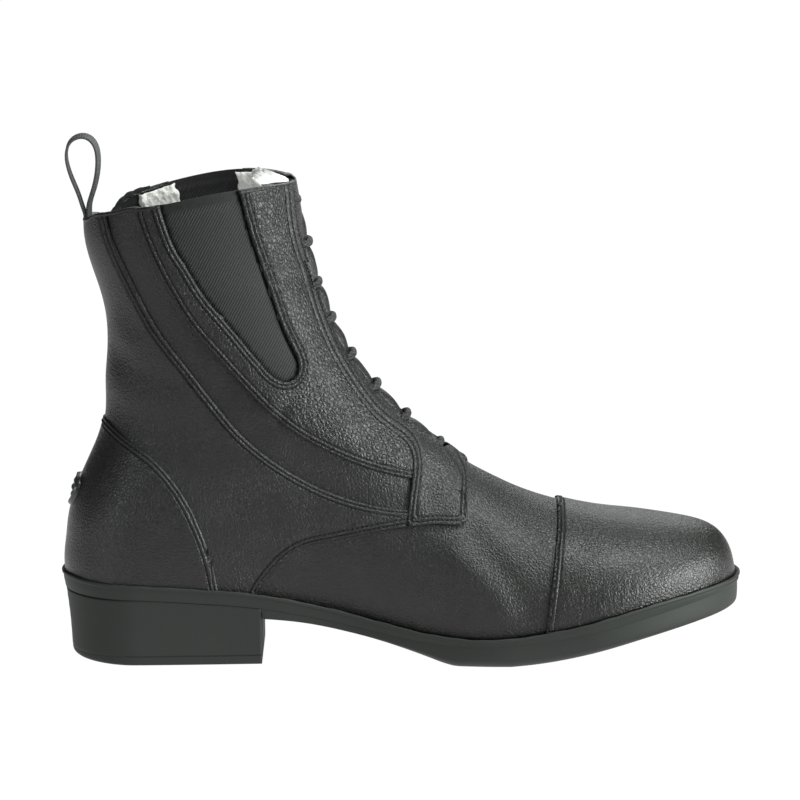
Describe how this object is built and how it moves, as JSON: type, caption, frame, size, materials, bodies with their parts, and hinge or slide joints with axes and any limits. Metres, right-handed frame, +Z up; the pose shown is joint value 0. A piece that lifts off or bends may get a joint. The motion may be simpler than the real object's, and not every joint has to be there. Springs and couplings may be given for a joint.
{
  "type": "jodhpur boot",
  "caption": "Ankle-high jodhpur boot with laced front, elastic side gores, fleece lining, toe cap, pull loop, spur rest and low block heel.",
  "frame": {"origin": "on the ground, under the middle of the sole's bounding box", "axes": "+X from heel to toe, +Y towards the inner (medial) side, +Z up the shaft"},
  "size_m": [0.2976, 0.102, 0.2295],
  "materials": {
    "leather": "grained, satin",
    "elastic": "ribbed weave, matt",
    "lining": "fleece, matt",
    "tape": "woven, matt",
    "cord": "braided, matt",
    "rubber": "satin",
    "insole_board": "matt"
  },
  "bodies": {
    "root": {"outsole": "rubber", "heel": "rubber", "heel_top_lift": "rubber", "insole": "insole_board", "upper": "leather", "toe_cap": "leather", "heel_counter": "leather", "quarters": "leather", "gore_panel_lateral": "leather", "gore_panel_medial": "leather", "eyestay_lateral": "leather", "eyestay_medial": "leather", "gore_lateral": "elastic", "gore_medial": "elastic", "tongue": "lining", "lace": "cord", "pull_loop": "tape", "spur_rest": "rubber"}
  },
  "joints": []
}
